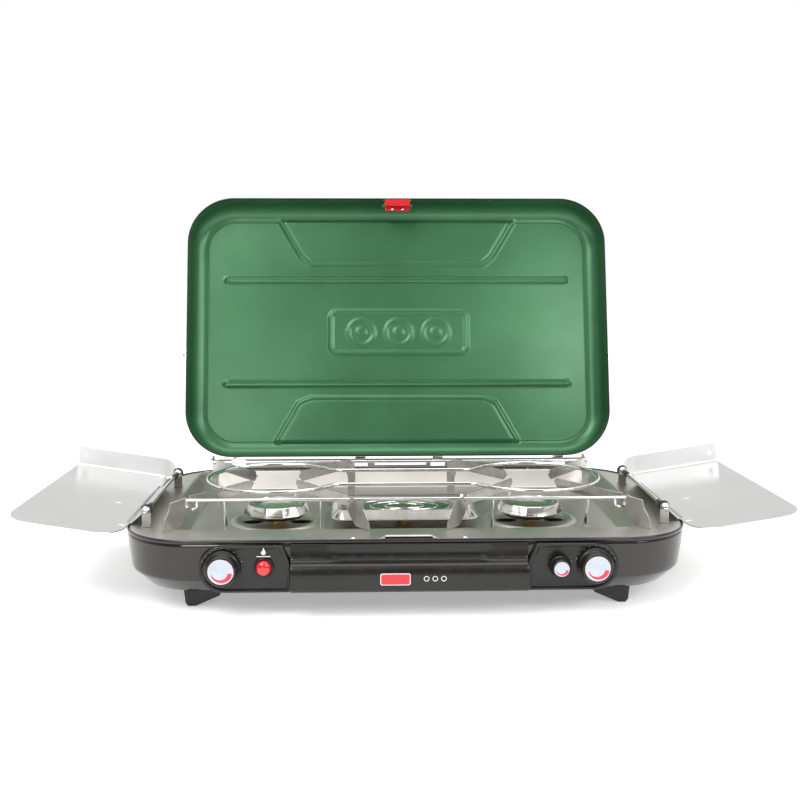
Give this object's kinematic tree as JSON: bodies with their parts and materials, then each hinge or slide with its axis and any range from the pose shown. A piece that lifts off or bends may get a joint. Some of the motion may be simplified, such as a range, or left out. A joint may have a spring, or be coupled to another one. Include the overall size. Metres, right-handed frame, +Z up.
{
  "type": "camping stove",
  "caption": "Portable gas camping stove with a hinged lid leaning back, fold-out side wind panels, a lift-out wire pan support, front knobs and a push igniter.",
  "frame": {"origin": "on the ground, under the middle of the open stove's box", "axes": "+X to the right seen from the front, +Y to the back, +Z up"},
  "size_m": [0.957, 0.5774, 0.5086],
  "materials": {
    "black_enamel": "gloss black enamel on pressed steel",
    "green_enamel": "gloss green paint on pressed steel",
    "satin_steel": "satin stainless sheet",
    "panel_steel": "satin stainless sheet",
    "polished_steel": "polished stainless",
    "tube_steel": "plain steel tube",
    "chrome": "bright plated wire",
    "brass": "machined brass",
    "black_plastic": "semi-gloss moulded plastic",
    "red_plastic": "glossy red plastic",
    "white_ceramic": "glazed insulator",
    "dark_steel": "dark plated steel"
  },
  "bodies": {
    "casing": {"base_pan": "black_enamel", "cooktop_deck": "satin_steel", "front_handle": "black_plastic", "control_bezel_left": "black_plastic", "control_bezel_right": "black_plastic", "burner_cap_left": "polished_steel", "burner_cap_middle": "polished_steel", "burner_cap_right": "polished_steel", "gas_manifold": "tube_steel", "gas_inlet": "brass", "igniter_body": "black_plastic", "igniter_electrode_left": "white_ceramic", "igniter_electrode_right": "white_ceramic", "lid_hinge_bracket": "satin_steel", "foot_front_left": "black_plastic", "panel_hinge_ear_left_front": "dark_steel", "foot_front_right": "black_plastic", "panel_hinge_ear_right_front": "dark_steel", "foot_rear_left": "black_plastic", "panel_hinge_ear_left_rear": "dark_steel", "foot_rear_right": "black_plastic", "panel_hinge_ear_right_rear": "dark_steel", "burner_throat_left": "brass", "gas_valve_left": "brass", "mixing_tube_left": "tube_steel", "burner_throat_middle": "brass", "gas_valve_middle": "brass", "mixing_tube_middle": "tube_steel", "burner_throat_right": "brass", "gas_valve_right": "brass", "mixing_tube_right": "tube_steel"},
    "lid_rod": {"lid_hinge_rod": "chrome"},
    "lid": {"lid_shell": "green_enamel", "lid_hinge_clip_1": "chrome", "lid_hinge_clip_2": "chrome", "lid_hinge_clip_3": "chrome", "lid_hinge_clip_4": "chrome", "lid_hook_left": "chrome", "lid_hook_right": "chrome", "latch_pin": "chrome"},
    "latch": {"lid_latch": "red_plastic"},
    "wind_panel_left": {"wind_panel_left": "panel_steel", "wind_panel_rod_left": "chrome"},
    "wind_panel_right": {"wind_panel_right": "panel_steel", "wind_panel_rod_right": "chrome"},
    "pan_support": {"grate_ring_wire": "chrome", "grate_front_wire": "chrome", "grate_rear_wire": "chrome", "grate_blade_left_ring_front_left": "chrome", "grate_blade_left_ring_front_right": "chrome", "grate_blade_left_ring_rear_left": "chrome", "grate_blade_left_ring_rear_right": "chrome", "grate_blade_right_ring_front_left": "chrome", "grate_blade_right_ring_front_right": "chrome", "grate_blade_right_ring_rear_left": "chrome", "grate_blade_right_ring_rear_right": "chrome"},
    "knob_left": {"knob_left": "black_plastic"},
    "knob_middle": {"knob_middle": "black_plastic"},
    "knob_right": {"knob_right": "black_plastic"},
    "igniter_button": {"igniter_button": "red_plastic"}
  },
  "joints": [
    {"name": "lid_swing_at_rod", "type": "hinge", "parent": "casing", "child": "lid_rod", "pos_m": [0, 0.1533, 0.1044], "axis": [1, 0, 0], "range_deg": [0, 80]},
    {"name": "lid_swing_at_clips", "type": "hinge", "parent": "lid_rod", "child": "lid", "pos_m": [0, 0.1533, 0.1044], "axis": [1, 0, 0], "range_deg": [0, 25.1]},
    {"name": "latch_swing", "type": "hinge", "parent": "lid", "child": "latch", "pos_m": [0, 0.26546, 0.49859], "axis": [-1, 0, 0], "range_deg": [0, 8]},
    {"name": "wind_panel_left_fold", "type": "hinge", "parent": "casing", "child": "wind_panel_left", "pos_m": [-0.32, -0.0747, 0.1115], "axis": [0, 1, 0], "range_deg": [0, 171]},
    {"name": "wind_panel_right_fold", "type": "hinge", "parent": "casing", "child": "wind_panel_right", "pos_m": [0.32, -0.0747, 0.1115], "axis": [0, -1, 0], "range_deg": [0, 171]},
    {"name": "pan_support_lift", "type": "slide", "parent": "casing", "child": "pan_support", "axis": [0, 0, -1], "range_m": [-0.06, 0]},
    {"name": "knob_left_turn", "type": "hinge", "parent": "casing", "child": "knob_left", "pos_m": [-0.218, -0.2727, 0.061], "axis": [0, -1, 0], "range_deg": [0, 270]},
    {"name": "knob_middle_turn", "type": "hinge", "parent": "casing", "child": "knob_middle", "pos_m": [0.176, -0.2727, 0.061], "axis": [0, -1, 0], "range_deg": [0, 270]},
    {"name": "knob_right_turn", "type": "hinge", "parent": "casing", "child": "knob_right", "pos_m": [0.218, -0.2727, 0.061], "axis": [0, -1, 0], "range_deg": [0, 270]},
    {"name": "igniter_press", "type": "slide", "parent": "casing", "child": "igniter_button", "axis": [0, 1, 0], "range_m": [0, 0.004], "stiffness_N_per_m": 400}
  ]
}
